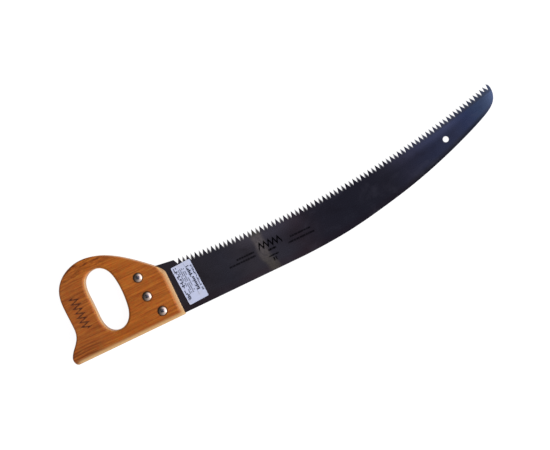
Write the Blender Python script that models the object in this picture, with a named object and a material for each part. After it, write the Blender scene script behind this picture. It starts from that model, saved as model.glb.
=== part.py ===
"""Pull saw with a closed wooden D-grip and a long curved blade.

The saw lies flat: +X runs along the straight back of the blade from the grip towards the nose, +Y points
from the back of the blade to its teeth, and +Z comes out of the face that carries the screw heads. The
origin is the resting point on the flat -Z face of the grip.

Sizes are in millimetres, drawn about the blade datum: x = 0 just in front of the grip, y = 0 on the
straight back, z = 0 in the middle plane of the steel. "Front" and "rear" are along +X and -X, "top" and
"bottom" along +Y and -Y. The grip's heel is its rear bottom corner; the blade's heel is the toothed
edge's end next to the grip.
"""

import math

import bmesh
import bpy
import numpy as np
from mathutils import Matrix, Vector

for old in list(bpy.data.objects):
    bpy.data.objects.remove(old, do_unlink=True)

MM = 0.001
DATUM_X, DATUM_Y = 57.0, -50.0  # the blade datum in the frame of the part


# ---------------------------------------------------------------- objects and modifiers

def add_object(name, bm, location=(0.0, 0.0, 0.0), turn=0.0, finish=None, smooth_deg=None):
    """Makes an object under the datum from a mesh in millimetres; turn is in radians about Z."""
    bmesh.ops.recalc_face_normals(bm, faces=bm.faces)
    bmesh.ops.scale(bm, vec=(MM, MM, MM), verts=bm.verts)
    mesh = bpy.data.meshes.new(name)
    bm.to_mesh(mesh)
    bm.free()
    if smooth_deg is not None:
        mesh.shade_smooth()
        mesh.set_sharp_from_angle(angle=math.radians(smooth_deg))
    if finish:
        mesh.materials.append(finish)
    made = bpy.data.objects.new(name, mesh)
    bpy.context.scene.collection.objects.link(made)
    made.parent = datum
    made.location = Vector(location) * MM
    made.rotation_euler.z = turn
    return made


def cut(target, label, cutter_name, bm, location=(0.0, 0.0, 0.0), turn=0.0):
    """Subtracts a hidden helper object from the target."""
    cutter = add_object(cutter_name, bm, location, turn)
    cutter.hide_render = True
    cutter.display_type = "WIRE"
    boolean = target.modifiers.new(label, "BOOLEAN")
    boolean.operation = "DIFFERENCE"
    boolean.solver = "EXACT"
    boolean.object = cutter


# ---------------------------------------------------------------- curves and outlines

def mix(first, last, share):
    return first + (last - first) * share


def smoothstep(value, low, high):
    share = max(0.0, min(1.0, (value - low) / (high - low)))
    return share * share * (3 - 2 * share)


def spline(points, step, closed=False, start=None, end=None):
    """Points about step apart along the cubic spline through the given ones.

    An open spline needs its start direction; without an end direction it ends with no curvature.
    """
    knots = np.array(points, float)
    if closed:
        knots = np.vstack([knots, knots[:1]])
    spans = np.hypot(*np.diff(knots, axis=0).T)
    slopes = np.diff(knots, axis=0) / spans[:, None]
    count = len(knots)

    # One equation per knot for the second derivatives.
    matrix, target = np.zeros((count, count)), np.zeros((count, 2))
    for i in range(1, count - 1):
        matrix[i, i - 1 : i + 2] = spans[i - 1], 2 * (spans[i - 1] + spans[i]), spans[i]
        target[i] = 6 * (slopes[i] - slopes[i - 1])
    if closed:
        matrix[0, 0], matrix[0, 1] = 2 * (spans[-1] + spans[0]), spans[0]
        matrix[0, count - 2] = spans[-1]
        target[0] = 6 * (slopes[0] - slopes[-1])
        matrix[-1, -1], matrix[-1, 0] = 1, -1
    else:
        matrix[0, :2] = 2 * spans[0], spans[0]
        target[0] = 6 * (slopes[0] - np.array(start))
        matrix[-1, -1] = 1
        if end is not None:
            matrix[-1, -2:] = spans[-1], 2 * spans[-1]
            target[-1] = 6 * (np.array(end) - slopes[-1])
    bends = np.linalg.solve(matrix, target)

    made = []
    for i, span in enumerate(spans):
        pieces = max(1, round(span / step))
        for k in range(pieces):
            done = k / pieces * span
            left = span - done
            made.append(
                bends[i] * left**3 / (6 * span)
                + bends[i + 1] * done**3 / (6 * span)
                + (knots[i] / span - bends[i] * span / 6) * left
                + (knots[i + 1] / span - bends[i + 1] * span / 6) * done
            )
    if not closed:
        made.append(knots[-1])
    return [tuple(point) for point in made]


def rounded_corner(points, index, radius, steps):
    """The arc that replaces one corner of a list of points."""
    here = Vector(points[index])
    back = (Vector(points[index - 1]) - here).normalized()
    ahead = (Vector(points[(index + 1) % len(points)]) - here).normalized()
    half = math.acos(back.dot(ahead)) / 2
    centre = here + (back + ahead).normalized() * radius / math.sin(half)
    first = here + back * radius / math.tan(half) - centre
    last = here + ahead * radius / math.tan(half) - centre
    sweep = math.atan2(first.x * last.y - first.y * last.x, first.dot(last))
    return [
        tuple(centre + Matrix.Rotation(sweep * k / steps, 2) @ first) for k in range(steps + 1)
    ]


def offsets_to_left(points):
    """For each corner of a closed loop, the vector that moves both its sides 1 mm to the left."""
    made = []
    for i, here in enumerate(points):
        before = Vector(here) - Vector(points[i - 1])
        after = Vector(points[(i + 1) % len(points)]) - Vector(here)
        normal_before = Vector((-before.y, before.x)).normalized()
        normal_after = Vector((-after.y, after.x)).normalized()
        middle = (normal_before + normal_after).normalized()
        made.append(middle / max(0.5, middle.dot(normal_before)))  # limited at sharp corners
    return made


def box_outline(x0, y0, x1, y1):
    return [(x0, y0), (x1, y0), (x1, y1), (x0, y1)]


def cross_outline(span, width):
    """A plus sign, as four arms of three corners each."""
    arm = [(span / 2, -width / 2), (span / 2, width / 2), (width / 2, width / 2)]
    return [
        (x * math.cos(turn) - y * math.sin(turn), x * math.sin(turn) + y * math.cos(turn))
        for turn in (0, math.pi / 2, math.pi, 3 * math.pi / 2)
        for x, y in arm
    ]


# ---------------------------------------------------------------- simple solids

def join_rings(bm, low, high):
    """A band of quads between two closed loops of equally many vertices."""
    for k in range(len(low)):
        n = (k + 1) % len(low)
        bm.faces.new((low[k], low[n], high[n], high[k]))


def prism(outline, z0, z1, top_scale=1.0):
    bm = bmesh.new()
    low = [bm.verts.new((x, y, z0)) for x, y in outline]
    high = [bm.verts.new((x * top_scale, y * top_scale, z1)) for x, y in outline]
    bm.faces.new(low[::-1])
    bm.faces.new(high)
    join_rings(bm, low, high)
    return bm


def turned(profile, segments):
    """A solid of revolution about Z from (radius, z) pairs that start and end on the axis."""
    bm = bmesh.new()
    angles = [2 * math.pi * k / segments for k in range(segments)]
    rings = []
    for r, z in profile:
        if r < 1e-6:
            rings.append([bm.verts.new((0, 0, z))])
        else:
            rings.append([bm.verts.new((r * math.cos(a), r * math.sin(a), z)) for a in angles])
    for low, high in zip(rings, rings[1:]):
        for k in range(segments):
            n = (k + 1) % segments
            corners = [low[k % len(low)], low[n % len(low)], high[n % len(high)], high[k % len(high)]]
            bm.faces.new(list(dict.fromkeys(corners)))  # a triangle where a ring is a point
    return bm


# ---------------------------------------------------------------- materials

def material(name, colour, roughness, metallic=0.0):
    made = bpy.data.materials.new(name)
    made.use_nodes = True
    shader = made.node_tree.nodes["Principled BSDF"]
    shader.inputs["Base Color"].default_value = (*colour, 1.0)
    shader.inputs["Roughness"].default_value = roughness
    shader.inputs["Metallic"].default_value = metallic
    return made


wood = material("beech_oiled", colour=(0.42, 0.14, 0.035), roughness=0.45)
steel = material(
    "spring_steel_dark", colour=(0.035, 0.033, 0.045), roughness=0.3, metallic=0.9
)
zinc = material("bright_zinc", colour=(0.72, 0.73, 0.75), roughness=0.22, metallic=1.0)
paper = material("label_paper", colour=(0.62, 0.65, 0.85), roughness=0.6)


# ---------------------------------------------------------------- saw bolts: screw and sleeve nut

GRIP_T = 22.0
SEAT_DEPTH = 1.0  # the heads sit in counterbored seats
SEAT_FLOOR = GRIP_T / 2 - SEAT_DEPTH

BOLTS = (  # place, x, y, turn of the screw, turn of the nut (degrees)
    ("top", -40.4, 72.0, 18, 70),
    ("middle", -40.0, 43.3, 52, 15),
    ("bottom", -29.5, 16.3, 33, 128),
)
BOLT_SEGMENTS, BOLT_SMOOTH_DEG = 24, 35
HEAD_R = 6.0
HEAD_SEAT = SEAT_FLOOR + 0.3  # flat inner side of a head
HEAD_CHAMFER_R, HEAD_CHAMFER_H = 0.15, 0.3
SCREW_RIM_H, NUT_RIM_H = 0.9, 0.7  # from the inner side of the head to its dome
SCREW_HEAD_TOP, NUT_HEAD_TOP = 13.1, 12.5
DOME_STEPS = 3
SHOULDER_R, SHOULDER_END = 3.8, 1.4
SLEEVE_CHAMFER = 0.4
THREAD_R, THREAD_END, THREAD_CHAMFER = 2.5, -9.2, 0.6
BORE_R, BORE_END = THREAD_R + 0.3, THREAD_END - 0.4
RECESS_SPAN, RECESS_W, RECESS_DEPTH = 5.2, 1.35, 2.0
RECESS_FLOOR_SCALE, RECESS_WIDENING = 0.5, 2.25  # the floor's scale; the cutter's top to its floor
RECESS_OVERSHOOT = 0.6  # how far the cutter stands above the head
SLOT_W, SLOT_DEPTH = 1.5, 1.1
SLOT_CUT_X, SLOT_CUT_Z = 10.0, -20.0  # cutter's reach beyond the head


def dome(radius, low, high, steps):
    """(radius, z) pairs over a shallow dome from its rim to the axis."""
    rise = high - low
    ball = (radius**2 + rise**2) / (2 * rise)
    rim_angle = math.asin(radius / ball)
    angles = [rim_angle * (1 - k / steps) for k in range(steps)]
    return [(ball * math.sin(a), high - ball * (1 - math.cos(a))) for a in angles] + [(0.0, high)]


def screw_body():
    profile = [
        (0.0, THREAD_END),
        (THREAD_R - THREAD_CHAMFER, THREAD_END),
        (THREAD_R, THREAD_END + THREAD_CHAMFER),
        (THREAD_R, SHOULDER_END),
        (SHOULDER_R, SHOULDER_END),
        (SHOULDER_R, HEAD_SEAT),
        (HEAD_R - HEAD_CHAMFER_R, HEAD_SEAT),
        (HEAD_R, HEAD_SEAT + HEAD_CHAMFER_H),
    ]
    profile += dome(HEAD_R, HEAD_SEAT + SCREW_RIM_H, SCREW_HEAD_TOP, DOME_STEPS)
    return turned(profile, BOLT_SEGMENTS)


def nut_body():
    head = dome(HEAD_R, HEAD_SEAT + NUT_RIM_H, NUT_HEAD_TOP, DOME_STEPS)
    profile = [(r, -z) for r, z in head[::-1]] + [
        (HEAD_R, -HEAD_SEAT - HEAD_CHAMFER_H),
        (HEAD_R - HEAD_CHAMFER_R, -HEAD_SEAT),
        (SHOULDER_R, -HEAD_SEAT),
        (SHOULDER_R, -SHOULDER_END - SLEEVE_CHAMFER),
        (SHOULDER_R - SLEEVE_CHAMFER, -SHOULDER_END),
        (BORE_R, -SHOULDER_END),
        (BORE_R, BORE_END),
        (0.0, BORE_END),
    ]
    return turned(profile, BOLT_SEGMENTS)


def build_bolt(place, x, y, screw_deg, nut_deg):
    spot = (x, y, 0)
    turn = math.radians(screw_deg)
    screw = add_object("screw_" + place, screw_body(), spot, turn, zinc, BOLT_SMOOTH_DEG)
    recess = prism(
        cross_outline(RECESS_SPAN * RECESS_FLOOR_SCALE, RECESS_W * RECESS_FLOOR_SCALE),
        SCREW_HEAD_TOP - RECESS_DEPTH,
        SCREW_HEAD_TOP + RECESS_OVERSHOOT,
        RECESS_WIDENING,
    )
    cut(screw, "cross_recess", "cut_recess_" + place, recess, spot, turn)

    turn = math.radians(nut_deg)
    nut = add_object("sleeve_nut_" + place, nut_body(), spot, turn, zinc, BOLT_SMOOTH_DEG)
    slot = prism(
        box_outline(-SLOT_CUT_X, -SLOT_W / 2, SLOT_CUT_X, SLOT_W / 2),
        SLOT_CUT_Z,
        -NUT_HEAD_TOP + SLOT_DEPTH,
    )
    cut(nut, "driver_slot", "cut_slot_" + place, slot, spot, turn)


# ---------------------------------------------------------------- blade

BLADE_T = 1.6
TOOTH_PITCH = 6.02  # along the tooth line
CROWDED_FROM, CROWDING = 54, 0.0034  # the last teeth stand a little closer together
TOOTH_COUNT = 82
TOOTH_HEIGHT = 9.5
TIP_LEAN_HEEL, TIP_LEAN_NOSE = 0.6, 1.7  # how far the points stand back towards the grip
FOOT_CHANGE = 0.75  # half a tooth's foot is this much shorter on its ground face, longer on the other
BEVEL_DROP = 2.0  # how far the ground face of a tooth stops below its point
TOOTH_SET = 0.22  # sideways set of each point, to +Z and -Z in turn
GULLET_FLAT = 0.36
TOOTH_LINE_LOW_X, TOOTH_LINE_LOW_Y = 187.0, 63.9  # lowest point of the curved tooth line
TOOTH_LINE_R_HEEL = 1470.0  # radius of the line towards the grip
TOOTH_LINE_R_NOSE = 1250.0  # radius of the line towards the nose
FIRST_TOOTH_X = 20.7
BACK_STEP = 7.0  # spacing of the points along the curved back
BACK_CURVE = (  # x, y from the end of the straight back, sweeping up and round the nose
    (172.0, 0.0), (220.0, 1.7), (250.0, 4.2), (300.0, 11.8),
    (350.0, 21.8), (400.0, 35.0), (450.0, 51.6), (481.0, 63.7),
    (494.0, 69.8), (503.2, 75.9), (508.9, 82.4), (511.8, 89.6),
    (512.5, 96.5), (511.9, 101.0), (510.6, 104.0), (508.0, 105.7),
)
STRAIGHT_BACK = [(100.0, 0.0), (20.0, 0.0)]
HEEL_CORNER = (13.4, 72.9)  # end of the untoothed edge in front of the grip
HEEL_GULLET = (16.9, 65.6)
TANG_REAR_X = -54.5
TANG = [  # x, y round the part of the blade inside the grip, from the back to the heel
    (0.0, 0.0), (TANG_REAR_X, 0.0), (TANG_REAR_X, 60.0), (-48.0, 81.6), HEEL_CORNER,
]
TANG_CORNERS = ((1, 4.0, 4), (2, 10.0, 4), (3, 6.0, 3))  # index in TANG, radius, arc steps
TANG_HOLE_R = 3.2
HANGING_HOLE_X, HANGING_HOLE_Y = 425.8, 60.8
HANGING_HOLE_R, HANGING_HOLE_SEGMENTS = 4.2, 32
BLADE_CUT_Z = 5.0  # reach of the hole cutters to each side


def tooth_point(s, up):
    """The point s mm along the line of tooth points from the first one, raised square to the line."""
    s -= TOOTH_LINE_R_HEEL * math.asin((TOOTH_LINE_LOW_X - FIRST_TOOTH_X) / TOOTH_LINE_R_HEEL)
    radius = TOOTH_LINE_R_HEEL if s < 0 else TOOTH_LINE_R_NOSE
    angle = s / radius
    return Vector((
        TOOTH_LINE_LOW_X + radius * math.sin(angle) - math.sin(angle) * up,
        TOOTH_LINE_LOW_Y + radius * (1 - math.cos(angle)) + math.cos(angle) * up,
    ))


def tooth_corners(k, side):
    """The rear foot, tip and front foot of tooth k on the +Z (side 1) or -Z (side -1) face."""
    tip_lean = mix(TIP_LEAN_HEEL, TIP_LEAN_NOSE, k / (TOOTH_COUNT - 1))
    foot = k * TOOTH_PITCH - CROWDING * max(0, k - CROWDED_FROM) ** 2 + tip_lean
    ground = (k % 2 == 1) == (side == 1)  # this face of this tooth is ground away
    reach = TOOTH_PITCH / 2 + (-FOOT_CHANGE if ground else FOOT_CHANGE) - GULLET_FLAT / 2
    drop = BEVEL_DROP if ground else 0.0
    share = 1 - drop / TOOTH_HEIGHT
    rear = tooth_point(foot - reach, -TOOTH_HEIGHT)
    tip = tooth_point(foot - tip_lean * share, -drop)
    front = tooth_point(foot + reach, -TOOTH_HEIGHT)
    face_z = side * BLADE_T / 2
    tip_z = face_z + (-TOOTH_SET if k % 2 else TOOTH_SET) * share
    return (*rear, face_z), (*tip, tip_z), (*front, face_z)


def plain_outline():
    """The untoothed edge, from the nose round the back and the tang to the heel gullet."""
    back = spline(BACK_CURVE, BACK_STEP, start=(1, 0))
    tang = [point for corner in TANG_CORNERS for point in rounded_corner(TANG, *corner)]
    return back[::-1] + STRAIGHT_BACK + tang + [HEEL_CORNER, HEEL_GULLET]


def blade_body():
    bm = bmesh.new()
    outline = plain_outline()
    rims = []
    for side in (1, -1):
        plain = [bm.verts.new((x, y, side * BLADE_T / 2)) for x, y in outline]
        teeth = [
            [bm.verts.new(corner) for corner in tooth_corners(k, side)] for k in range(TOOTH_COUNT)
        ]
        # The plate is one flat face up to the feet, and each tooth is a triangle on it.
        plate = plain + [v for rear, _, front in teeth for v in (rear, front)]
        bm.faces.new(plate[::side])
        for tooth in teeth:
            bm.faces.new(tooth[::-side])
        rims.append(plain + [v for tooth in teeth for v in tooth])
    join_rings(bm, *rims)
    return bm


def through_hole(radius, segments):
    return turned(
        [(0, -BLADE_CUT_Z), (radius, -BLADE_CUT_Z), (radius, BLADE_CUT_Z), (0, BLADE_CUT_Z)],
        segments,
    )


def build_blade():
    blade = add_object("blade", blade_body(), finish=steel)
    for place, x, y, *_ in BOLTS:
        hole = through_hole(TANG_HOLE_R, BOLT_SEGMENTS)
        cut(blade, "tang_" + place, "cut_tang_" + place, hole, (x, y, 0))
    hole = through_hole(HANGING_HOLE_R, HANGING_HOLE_SEGMENTS)
    cut(blade, "hanging_hole", "cut_hanging_hole", hole, (HANGING_HOLE_X, HANGING_HOLE_Y, 0))


# ---------------------------------------------------------------- grip

GRIP_BOTTOM_Y = -1.5
GRIP_FRONT_X = -3.2
GRIP_CURVE = (  # x, y from the heel, up the rear, over the top and down the slope to the front
    (-164.0, GRIP_BOTTOM_Y), (-168.0, 0.0), (-169.7, 3.4), (-170.0, 8.5), (-167.7, 14.0),
    (-163.2, 20.0), (-158.4, 25.4), (-153.4, 32.6), (-150.9, 40.2), (-150.4, 49.0),
    (-150.8, 64.0), (-151.1, 79.0), (-150.1, 91.6), (-143.9, 107.4), (-132.4, 118.9),
    (-117.9, 125.8), (-104.0, 128.1), (-90.0, 126.9), (-77.2, 123.3), (-61.3, 115.5),
    (-45.3, 104.5), (-29.3, 91.3), (-14.0, 77.2), (-7.2, 70.2), (-4.0, 65.0),
    (GRIP_FRONT_X, 58.5),
)
FRONT_YS = (45.0, 30.0, 15.0, GRIP_BOTTOM_Y)  # points down the straight front
BOTTOM_XS = (-30.0, -57.0, -84.0, -111.0, -138.0)  # points along the straight bottom
HAND_HOLE = (  # x, y round the closed opening for the fingers, clockwise seen from +Z
    (-112.8, 52.0), (-112.9, 72.0), (-112.4, 90.0), (-108.2, 100.8),
    (-100.3, 106.9), (-90.6, 108.6), (-81.2, 105.7), (-73.8, 97.6),
    (-69.7, 84.0), (-68.4, 66.0), (-69.4, 49.0), (-72.9, 33.4),
    (-80.6, 22.9), (-91.6, 18.6), (-102.9, 21.1), (-110.4, 30.6),
)
GRIP_STEP, EDGE_SEGMENTS, GRIP_SMOOTH_DEG = 4.6, 3, 50
EDGE_ROUND = 3.7  # rounding of the grip's edges
HEEL_ROUND = 2.4  # less at the pointed heel
FRONT_EASE_W, FRONT_EASE_H = 7.0, 5.4  # the broad eased edge where the blade comes out
ROUND_BULGE, FRONT_BULGE = 2.0, 1.3  # exponent of the edge's section: 2 is round, 1 is flat
FRONT_BLEND_X = (-17.0, -6.0)  # where the edge changes from plain to broad
FRONT_BLEND_Y = (GRIP_BOTTOM_Y, 4.0)
HEEL_BLEND = (155.0, 166.0)  # distances behind the datum where the rounding shrinks
KERF_T = 2.2
KERF_REAR_X = TANG_REAR_X - 1.0
KERF_CUT = (KERF_REAR_X, -20.0, 20.0, 140.0)  # x0, y0, x1, y1, well outside the grip but at the rear
SEAT_R = HEAD_R + 0.4
BARREL_HOLE_R = SHOULDER_R + 0.3
BOLT_HOLE_CUT_Z = 30.0  # reach of the cutter to each side


def grip_outline():
    """The whole outline, counter-clockwise seen from +Z."""
    curve = spline(GRIP_CURVE, GRIP_STEP, start=(-1, 0), end=(0, -1))
    front = [(GRIP_FRONT_X, y) for y in FRONT_YS]
    bottom = [(x, GRIP_BOTTOM_Y) for x in BOTTOM_XS]
    return (curve + front + bottom)[::-1]


def outer_edge(x, y):
    """(width, height, bulge) of the eased edge at a point of the outline."""
    front = smoothstep(x, *FRONT_BLEND_X) * smoothstep(y, *FRONT_BLEND_Y)
    plain = mix(EDGE_ROUND, HEEL_ROUND, smoothstep(-x, *HEEL_BLEND))
    return (
        mix(plain, FRONT_EASE_W, front),
        mix(plain, FRONT_EASE_H, front),
        mix(ROUND_BULGE, FRONT_BULGE, front),
    )


def hand_hole_edge(_x, _y):
    return EDGE_ROUND, EDGE_ROUND, ROUND_BULGE


def eased_ring(points, side, share, edge):
    """The loop at one step of an eased edge; share runs from 0 on the flat face to 1 on the wall."""
    made = []
    angle = share * math.pi / 2
    for (x, y), offset in zip(points, offsets_to_left(points)):
        width, height, bulge = edge(x, y)
        inset = width * (1 - math.sin(angle) ** (2 / bulge))
        drop = height * (1 - math.cos(angle) ** (2 / bulge))
        made.append((x + offset.x * inset, y + offset.y * inset, side * (GRIP_T / 2 - drop)))
    return made


def grip_body():
    bm = bmesh.new()
    hole = spline(HAND_HOLE, GRIP_STEP, closed=True)
    levels = [(-1, k / EDGE_SEGMENTS) for k in range(EDGE_SEGMENTS + 1)]
    levels += [(1, share) for _, share in levels[::-1]]
    cap_loops = {-1: [], 1: []}
    for points, edge in ((grip_outline(), outer_edge), (hole, hand_hole_edge)):
        rings = [
            [bm.verts.new(corner) for corner in eased_ring(points, side, share, edge)]
            for side, share in levels
        ]
        for low, high in zip(rings, rings[1:]):
            join_rings(bm, low, high)
        cap_loops[-1].append(rings[0])
        cap_loops[1].append(rings[-1])
    for loops in cap_loops.values():
        edges = [bm.edges.get((loop[k - 1], loop[k])) for loop in loops for k in range(len(loop))]
        bmesh.ops.triangle_fill(bm, edges=edges, use_beauty=True)
    return bm


def build_handle():
    handle = add_object("handle", grip_body(), finish=wood, smooth_deg=GRIP_SMOOTH_DEG)
    kerf = prism(box_outline(*KERF_CUT), -KERF_T / 2, KERF_T / 2)
    cut(handle, "kerf", "cut_kerf", kerf)
    profile = [
        (0, -BOLT_HOLE_CUT_Z),
        (SEAT_R, -BOLT_HOLE_CUT_Z),
        (SEAT_R, -SEAT_FLOOR),
        (BARREL_HOLE_R, -SEAT_FLOOR),
    ]
    profile += [(r, -z) for r, z in profile[::-1]]
    for place, x, y, *_ in BOLTS:
        hole = turned(profile, BOLT_SEGMENTS)
        cut(handle, "bolt_hole_" + place, "cut_bolt_hole_" + place, hole, (x, y, 0))


# ---------------------------------------------------------------- paper label on the blade's +Z face

LABEL_X, LABEL_Y = 20.6, 36.0  # centre
LABEL_W, LABEL_H = 29.4, 57.2
LABEL_TURN = math.radians(2.7)
LABEL_T, LABEL_GAP = 0.15, 0.05
LABEL_CORNER_R, LABEL_CORNER_STEPS = 1.6, 3


def build_label():
    corners = box_outline(-LABEL_W / 2, -LABEL_H / 2, LABEL_W / 2, LABEL_H / 2)
    outline = [
        point
        for k in range(4)
        for point in rounded_corner(corners, k, LABEL_CORNER_R, LABEL_CORNER_STEPS)
    ]
    spot = (LABEL_X, LABEL_Y, BLADE_T / 2 + LABEL_GAP)
    add_object("label", prism(outline, 0.0, LABEL_T), spot, LABEL_TURN, paper)


# ---------------------------------------------------------------- assembly

datum = bpy.data.objects.new("blade_datum", None)
datum.location = Vector((DATUM_X, DATUM_Y, GRIP_T / 2)) * MM
bpy.context.scene.collection.objects.link(datum)

build_handle()
build_blade()
for bolt in BOLTS:
    build_bolt(*bolt)
build_label()
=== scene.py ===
"""The pull saw as it looks: finer meshes for its pieces, procedural materials, soft studio light and the camera.

Lengths in the mesh code are in millimetres about the blade datum: x = 0 just in front of the grip, y = 0 on the
straight back of the blade, z = 0 in the middle plane of the steel. OFFSET carries them into the frame of the part.
"""

import math

import bmesh
import bpy
import numpy as np
from mathutils import Matrix, Vector


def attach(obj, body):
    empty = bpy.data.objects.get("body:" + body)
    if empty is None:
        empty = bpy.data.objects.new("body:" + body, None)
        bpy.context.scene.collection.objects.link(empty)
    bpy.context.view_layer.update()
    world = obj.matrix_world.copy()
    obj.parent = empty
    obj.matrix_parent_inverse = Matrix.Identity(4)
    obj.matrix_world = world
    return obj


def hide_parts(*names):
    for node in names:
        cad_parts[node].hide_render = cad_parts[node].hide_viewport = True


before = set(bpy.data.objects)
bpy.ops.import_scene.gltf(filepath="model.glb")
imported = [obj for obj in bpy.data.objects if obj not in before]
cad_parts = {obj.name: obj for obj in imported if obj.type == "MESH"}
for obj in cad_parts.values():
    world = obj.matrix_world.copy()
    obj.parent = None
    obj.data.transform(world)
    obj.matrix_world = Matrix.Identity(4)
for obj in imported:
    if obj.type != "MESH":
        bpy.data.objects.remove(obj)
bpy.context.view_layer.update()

MM = 0.001
OFFSET = Vector((57.0, -50.0, 11.0))

# ---- blade
BLADE_T = 1.6
TOOTH_PITCH = 6.02
CROWDED_FROM, CROWDING = 54, 0.0034
TOOTH_COUNT = 82
TOOTH_HEIGHT = 9.5
TIP_LEAN_HEEL, TIP_LEAN_NOSE = 0.6, 1.7
TOOTH_LEAN = 0.75
BEVEL_DROP = 2.0
TOOTH_SET = 0.22
GULLET_FLAT = 0.36
GULLET_R = 0.3
TOOTH_LINE_LOW = (187.0, 63.9)
TOOTH_LINE_R_HEEL = 1470.0
TOOTH_LINE_R_NOSE = 1250.0
FIRST_TOOTH_X = 20.7
BACK_CURVE_START = 172.0
BACK_CURVE = (
    (220.0, 1.7),
    (250.0, 4.2),
    (300.0, 11.8),
    (350.0, 21.8),
    (400.0, 35.0),
    (450.0, 51.6),
    (481.0, 63.7),
    (494.0, 69.8),
    (503.2, 75.9),
    (508.9, 82.4),
    (511.8, 89.6),
    (512.5, 96.5),
    (511.9, 101.0),
    (510.6, 104.0),
    (508.0, 105.7),
)
HEEL_CORNER = (13.4, 72.9)
HEEL_GULLET = (16.9, 65.6)
TANG_REAR_X = -54.5
TANG_TOP_REAR = (-48.0, 81.6)
TANG_HOLE_R = 3.2
HANGING_HOLE = (425.8, 60.8)
HANGING_HOLE_R = 4.2

# ---- grip
GRIP_T = 22.0
GRIP_BOTTOM_Y = -1.5
GRIP_FRONT_X = -3.2
GRIP_CURVE = (
    (-164.0, -1.5),
    (-168.0, 0.0),
    (-169.7, 3.4),
    (-170.0, 8.5),
    (-167.7, 14.0),
    (-163.2, 20.0),
    (-158.4, 25.4),
    (-153.4, 32.6),
    (-150.9, 40.2),
    (-150.4, 49.0),
    (-150.8, 64.0),
    (-151.1, 79.0),
    (-150.1, 91.6),
    (-143.9, 107.4),
    (-132.4, 118.9),
    (-117.9, 125.8),
    (-104.0, 128.1),
    (-90.0, 126.9),
    (-77.2, 123.3),
    (-61.3, 115.5),
    (-45.3, 104.5),
    (-29.3, 91.3),
    (-14.0, 77.2),
    (-7.2, 70.2),
    (-4.0, 65.0),
    (-3.2, 58.5),
)
HAND_HOLE = (
    (-112.8, 52.0),
    (-112.9, 72.0),
    (-112.4, 90.0),
    (-108.2, 100.8),
    (-100.3, 106.9),
    (-90.6, 108.6),
    (-81.2, 105.7),
    (-73.8, 97.6),
    (-69.7, 84.0),
    (-68.4, 66.0),
    (-69.4, 49.0),
    (-72.9, 33.4),
    (-80.6, 22.9),
    (-91.6, 18.6),
    (-102.9, 21.1),
    (-110.4, 30.6),
)
EDGE_ROUND = 3.7  # round the hand opening
OUTER_ROUND = 2.6
BOTTOM_ROUND = 5.0
FRONT_EASE_W, FRONT_EASE_H = 6.6, 5.4
CORNER_CLEAR = 7.5
KERF_T = 2.2
KERF_REAR_X = -55.5
SEAT_R, SEAT_DEPTH = 7.0, 1.0
BARREL_HOLE_R = 4.1

# ---- bolts
BOLTS = {"top": (-40.4, 72.0), "middle": (-40.0, 43.3), "bottom": (-29.5, 16.3)}
SCREW_TURNS = {"top": 18.0, "middle": 52.0, "bottom": 33.0}
NUT_TURNS = {"top": 70.0, "middle": 15.0, "bottom": 128.0}
HEAD_R = 6.0
SCREW_HEAD_TOP, NUT_HEAD_TOP = 13.1, 12.5
HEAD_SEAT = GRIP_T / 2 - SEAT_DEPTH + 0.3
SHOULDER_R, SHOULDER_END = 3.8, 1.4
THREAD_R, THREAD_END = 2.5, -9.2
BORE_R, BORE_END = 2.8, -9.6
RECESS_SPAN, RECESS_W, RECESS_DEPTH = 5.8, 1.7, 2.0
SLOT_W, SLOT_DEPTH = 1.5, 1.1

# ---- label
LABEL_CENTRE = (20.6, 36.0)
LABEL_SIZE = (29.4, 57.2)
LABEL_TURN = math.radians(2.7)
LABEL_T, LABEL_GAP, LABEL_CORNER = 0.15, 0.05, 1.6

# ---- camera and floor
SAW_ANGLE = math.radians(25.6)  # of the blade's back in the picture
VIEW_CENTRE = (161.2, 55.9)
VIEW_HEIGHT = 1600.0
LENS = 75.6
FLOOR_Z = -1.6


# ================================================================ curves and solids

def spline(points, step, closed=False, start=None, end=None):
    """Points about step apart along the smooth curve through the given ones, with continuous curvature."""
    p = np.array(points, float)
    if closed:
        p = np.vstack([p, p[:1]])
    t = np.concatenate([[0.0], np.cumsum(np.hypot(*np.diff(p, axis=0).T))])
    h = np.diff(t)
    n = len(p)
    a, b = np.zeros((n, n)), np.zeros((n, 2))
    slope = np.diff(p, axis=0) / h[:, None]
    for i in range(1, n - 1):
        a[i, i - 1 : i + 2] = h[i - 1], 2 * (h[i - 1] + h[i]), h[i]
        b[i] = 6 * (slope[i] - slope[i - 1])
    if closed:
        a[0, 0], a[0, 1], a[0, n - 2] = 2 * (h[-1] + h[0]), h[0], h[-1]
        b[0] = 6 * (slope[0] - slope[-1])
        a[n - 1, n - 1], a[n - 1, 0] = 1, -1
    else:
        a[0, 0] = a[n - 1, n - 1] = 1
        if start is not None:
            a[0, :2] = 2 * h[0], h[0]
            b[0] = 6 * (slope[0] - np.array(start))
        if end is not None:
            a[n - 1, -2:] = h[-1], 2 * h[-1]
            b[n - 1] = 6 * (np.array(end) - slope[-1])
    m = np.linalg.solve(a, b)
    made = []
    for i in range(n - 1):
        count = max(1, round(h[i] / step))
        for k in range(count):
            u = k / count * h[i]
            w = h[i] - u
            made.append(
                m[i] * w**3 / (6 * h[i])
                + m[i + 1] * u**3 / (6 * h[i])
                + (p[i] / h[i] - m[i] * h[i] / 6) * w
                + (p[i + 1] / h[i] - m[i + 1] * h[i] / 6) * u
            )
    if not closed:
        made.append(p[-1])
    return [tuple(q) for q in made]


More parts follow.
